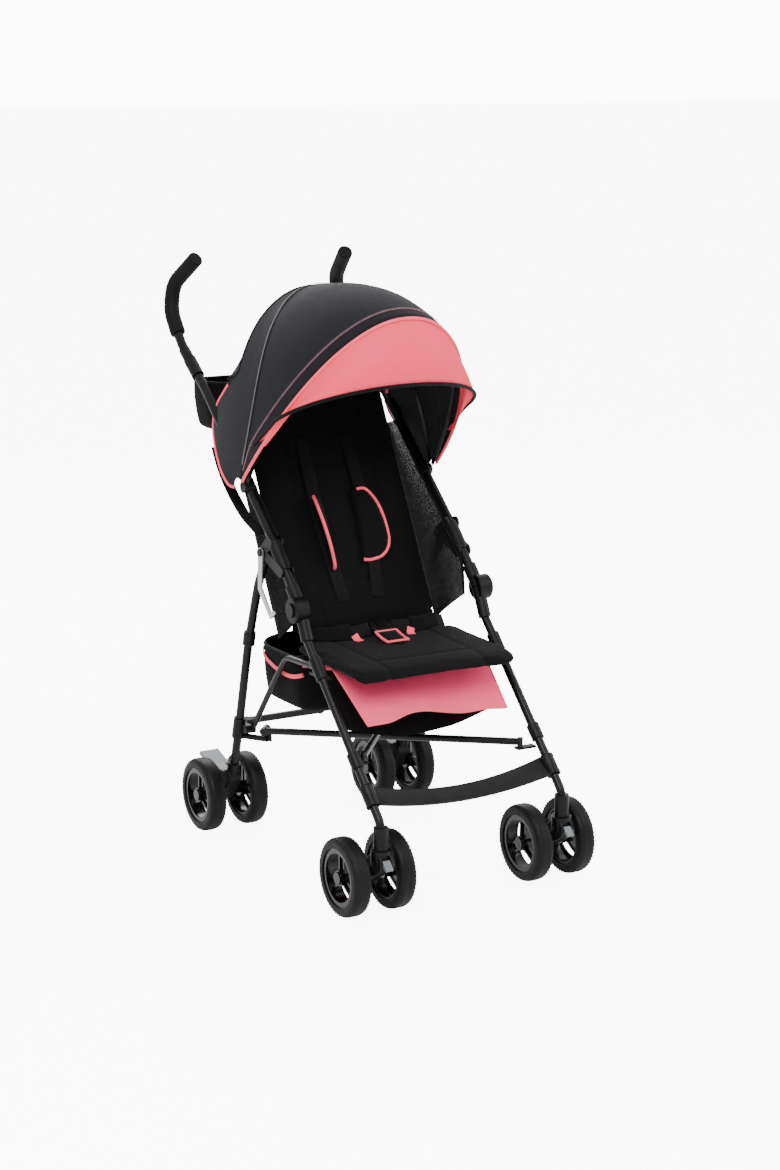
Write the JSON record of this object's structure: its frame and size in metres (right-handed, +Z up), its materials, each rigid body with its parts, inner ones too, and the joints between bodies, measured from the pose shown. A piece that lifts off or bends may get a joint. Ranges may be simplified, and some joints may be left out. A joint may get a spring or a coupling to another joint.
{
  "type": "umbrella stroller",
  "caption": "Light folding umbrella stroller with a fabric seat, an arched canopy, two hooked handles and twin wheels on each leg.",
  "frame": {"origin": "on the floor, under the centre of the bounding box", "axes": "+Z up, -Y towards the front of the stroller, +X towards the rider's left"},
  "size_m": [0.495, 0.8501, 1.086],
  "materials": {
    "black_metal": "satin",
    "link_steel": "satin",
    "black_plastic": "matte",
    "wheel_plastic": "gloss",
    "tyre_foam": "matte",
    "grip_foam": "matte",
    "grey_plastic": "satin",
    "hook_steel": "satin",
    "black_fabric": "woven",
    "charcoal_fabric": "woven",
    "pink_fabric": "woven",
    "webbing": "woven",
    "buckle_plastic": "gloss"
  },
  "bodies": {
    "right_frame": {"right_front_leg": "black_metal", "right_push_tube": "black_metal", "right_side_fittings": "black_plastic", "right_grip": "grip_foam", "footrest": "black_plastic", "seat": "black_fabric", "lap_belt": "webbing", "buckle": "buckle_plastic", "calf_panel": "pink_fabric", "basket": "black_fabric", "rear_pouch": "black_fabric", "carry_strap": "webbing", "canopy_rear": "charcoal_fabric", "canopy_rear_bow": "black_plastic"},
    "left_frame": {"left_front_leg": "black_metal", "left_push_tube": "black_metal", "left_side_fittings": "black_plastic", "left_grip": "grip_foam"},
    "right_rear_leg": {"right_rear_leg": "black_metal", "right_leg_knuckle": "black_plastic", "right_rear_housing": "black_plastic"},
    "left_rear_leg": {"left_rear_leg": "black_metal", "left_leg_knuckle": "black_plastic", "left_rear_housing": "black_plastic"},
    "right_cross_link": {"right_cross_link": "link_steel"},
    "left_cross_link": {"left_cross_link": "link_steel", "fold_pedal": "black_plastic"},
    "right_strut": {"right_strut": "black_metal"},
    "left_strut": {"left_strut": "black_metal"},
    "right_brace": {"right_brace_bar": "link_steel"},
    "left_brace": {"left_brace_bar": "link_steel"},
    "right_caster": {"right_caster_fork": "black_plastic"},
    "left_caster": {"left_caster_fork": "black_plastic"},
    "right_swivel_lock": {"right_swivel_lock": "grey_plastic"},
    "left_swivel_lock": {"left_swivel_lock": "grey_plastic"},
    "right_brake_pedal": {"right_brake_pedal": "grey_plastic"},
    "left_brake_pedal": {"left_brake_pedal": "grey_plastic"},
    "backrest": {"backrest": "black_fabric", "shoulder_straps": "webbing"},
    "canopy_front": {"canopy_front": "charcoal_fabric", "canopy_front_bow": "black_plastic"},
    "canopy_visor": {"canopy_visor": "pink_fabric"},
    "latch_hook": {"latch_hook": "hook_steel"},
    "buckle_button": {"buckle_button": "buckle_plastic"},
    "right_front_outer_wheel": {"right_front_outer_tyre": "tyre_foam", "right_front_outer_rim": "wheel_plastic"},
    "right_front_inner_wheel": {"right_front_inner_tyre": "tyre_foam", "right_front_inner_rim": "wheel_plastic"},
    "right_rear_outer_wheel": {"right_rear_outer_tyre": "tyre_foam", "right_rear_outer_rim": "wheel_plastic"},
    "right_rear_inner_wheel": {"right_rear_inner_tyre": "tyre_foam", "right_rear_inner_rim": "wheel_plastic"},
    "left_front_outer_wheel": {"left_front_outer_tyre": "tyre_foam", "left_front_outer_rim": "wheel_plastic"},
    "left_front_inner_wheel": {"left_front_inner_tyre": "tyre_foam", "left_front_inner_rim": "wheel_plastic"},
    "left_rear_outer_wheel": {"left_rear_outer_tyre": "tyre_foam", "left_rear_outer_rim": "wheel_plastic"},
    "left_rear_inner_wheel": {"left_rear_inner_tyre": "tyre_foam", "left_rear_inner_rim": "wheel_plastic"}
  },
  "joints": [
    {"name": "right_leg_fold", "type": "hinge", "parent": "right_frame", "child": "right_rear_leg", "pos_m": [-0.186, 0.01234, 0.572], "axis": [1, 0, 0], "range_deg": [-40, 0]},
    {"name": "frame_fold", "type": "hinge", "parent": "right_rear_leg", "child": "right_cross_link", "pos_m": [-0.162, 0.15646, 0.21535], "axis": [0, -0.9653, -0.2613], "range_deg": [0, 70], "deforming": ["footrest", "seat", "lap_belt", "calf_panel", "basket", "rear_pouch", "canopy_rear", "canopy_rear_bow", "backrest", "shoulder_straps", "canopy_front", "canopy_front_bow", "canopy_visor"]},
    {"name": "middle_link_fold", "type": "hinge", "parent": "right_cross_link", "child": "left_cross_link", "pos_m": [0, 0.15646, 0.21535], "axis": [0, -0.9653, -0.2613], "range_deg": [-140, 0]},
    {"name": "left_link_fold", "type": "hinge", "parent": "left_cross_link", "child": "left_rear_leg", "pos_m": [0.162, 0.15646, 0.21535], "axis": [0, -0.9653, -0.2613], "range_deg": [0, 70]},
    {"name": "left_leg_fold", "type": "hinge", "parent": "left_rear_leg", "child": "left_frame", "pos_m": [0.186, 0.01234, 0.572], "axis": [1, 0, 0], "range_deg": [0, 40]},
    {"name": "right_strut_fold", "type": "hinge", "parent": "right_rear_leg", "child": "right_strut", "pos_m": [-0.168, 0.11734, 0.212], "axis": [1, 0, 0], "range_deg": [-42, 0]},
    {"name": "right_brace_fold", "type": "hinge", "parent": "right_rear_leg", "child": "right_brace", "pos_m": [-0.15, 0.09422, 0.21505], "axis": [-0.7736, -0.6117, -0.1656], "range_deg": [0, 70]},
    {"name": "right_caster_swivel", "type": "hinge", "parent": "right_frame", "child": "right_caster", "pos_m": [-0.186, -0.39466, 0.125], "axis": [0, 0, 1], "continuous": true},
    {"name": "right_swivel_lock_flip", "type": "hinge", "parent": "right_caster", "child": "right_swivel_lock", "pos_m": [-0.186, -0.41066, 0.106], "axis": [1, 0, 0], "range_deg": [-30, 0]},
    {"name": "right_brake_press", "type": "hinge", "parent": "right_rear_leg", "child": "right_brake_pedal", "pos_m": [-0.186, 0.19734, 0.108], "axis": [1, 0, 0], "range_deg": [-18, 0]},
    {"name": "right_front_outer_wheel_spin", "type": "hinge", "parent": "right_caster", "child": "right_front_outer_wheel", "pos_m": [-0.2305, -0.34866, 0.07], "axis": [1, 0, 0], "continuous": true},
    {"name": "right_front_inner_wheel_spin", "type": "hinge", "parent": "right_caster", "child": "right_front_inner_wheel", "pos_m": [-0.1415, -0.34866, 0.07], "axis": [1, 0, 0], "continuous": true},
    {"name": "right_rear_outer_wheel_spin", "type": "hinge", "parent": "right_rear_leg", "child": "right_rear_outer_wheel", "pos_m": [-0.2305, 0.20334, 0.07], "axis": [1, 0, 0], "continuous": true},
    {"name": "right_rear_inner_wheel_spin", "type": "hinge", "parent": "right_rear_leg", "child": "right_rear_inner_wheel", "pos_m": [-0.1415, 0.20334, 0.07], "axis": [1, 0, 0], "continuous": true},
    {"name": "left_strut_fold", "type": "hinge", "parent": "left_rear_leg", "child": "left_strut", "pos_m": [0.168, 0.11734, 0.212], "axis": [1, 0, 0], "range_deg": [-42, 0]},
    {"name": "left_brace_fold", "type": "hinge", "parent": "left_rear_leg", "child": "left_brace", "pos_m": [0.15, 0.09046, 0.22895], "axis": [-0.7736, 0.6117, 0.1656], "range_deg": [0, 70]},
    {"name": "left_caster_swivel", "type": "hinge", "parent": "left_frame", "child": "left_caster", "pos_m": [0.186, -0.39466, 0.125], "axis": [0, 0, 1], "continuous": true},
    {"name": "left_swivel_lock_flip", "type": "hinge", "parent": "left_caster", "child": "left_swivel_lock", "pos_m": [0.186, -0.41066, 0.106], "axis": [1, 0, 0], "range_deg": [-30, 0]},
    {"name": "left_brake_press", "type": "hinge", "parent": "left_rear_leg", "child": "left_brake_pedal", "pos_m": [0.186, 0.19734, 0.108], "axis": [1, 0, 0], "range_deg": [-18, 0]},
    {"name": "left_front_outer_wheel_spin", "type": "hinge", "parent": "left_caster", "child": "left_front_outer_wheel", "pos_m": [0.2305, -0.34866, 0.07], "axis": [1, 0, 0], "continuous": true},
    {"name": "left_front_inner_wheel_spin", "type": "hinge", "parent": "left_caster", "child": "left_front_inner_wheel", "pos_m": [0.1415, -0.34866, 0.07], "axis": [1, 0, 0], "continuous": true},
    {"name": "left_rear_outer_wheel_spin", "type": "hinge", "parent": "left_rear_leg", "child": "left_rear_outer_wheel", "pos_m": [0.2305, 0.20334, 0.07], "axis": [1, 0, 0], "continuous": true},
    {"name": "left_rear_inner_wheel_spin", "type": "hinge", "parent": "left_rear_leg", "child": "left_rear_inner_wheel", "pos_m": [0.1415, 0.20334, 0.07], "axis": [1, 0, 0], "continuous": true},
    {"name": "backrest_recline", "type": "hinge", "parent": "right_frame", "child": "backrest", "pos_m": [0, -0.02666, 0.41], "axis": [1, 0, 0], "range_deg": [-18, 0]},
    {"name": "canopy_fold", "type": "hinge", "parent": "right_frame", "child": "canopy_front", "pos_m": [0, 0.08455, 0.68081], "axis": [1, 0, 0], "range_deg": [-26, 0]},
    {"name": "visor_fold", "type": "hinge", "parent": "canopy_front", "child": "canopy_visor", "pos_m": [0, 0.08455, 0.68081], "axis": [1, 0, 0], "range_deg": [-20, 0]},
    {"name": "latch_swing", "type": "hinge", "parent": "right_frame", "child": "latch_hook", "pos_m": [-0.186, 0.01234, 0.572], "axis": [1, 0, 0], "range_deg": [0, 18]},
    {"name": "buckle_press", "type": "slide", "parent": "right_frame", "child": "buckle_button", "axis": [0, 0.4067, -0.9135], "range_m": [0, 0.0025], "stiffness_N_per_m": 400}
  ],
  "couplings": [
    {"joint": "right_leg_fold", "follows": "frame_fold", "ratio": -0.57143},
    {"joint": "middle_link_fold", "follows": "frame_fold", "ratio": -2},
    {"joint": "left_link_fold", "follows": "frame_fold", "ratio": 1},
    {"joint": "left_leg_fold", "follows": "frame_fold", "ratio": 0.57143},
    {"joint": "right_strut_fold", "follows": "frame_fold", "ratio": -0.6},
    {"joint": "right_brace_fold", "follows": "frame_fold", "ratio": 1},
    {"joint": "left_strut_fold", "follows": "frame_fold", "ratio": -0.6},
    {"joint": "left_brace_fold", "follows": "frame_fold", "ratio": 1}
  ]
}
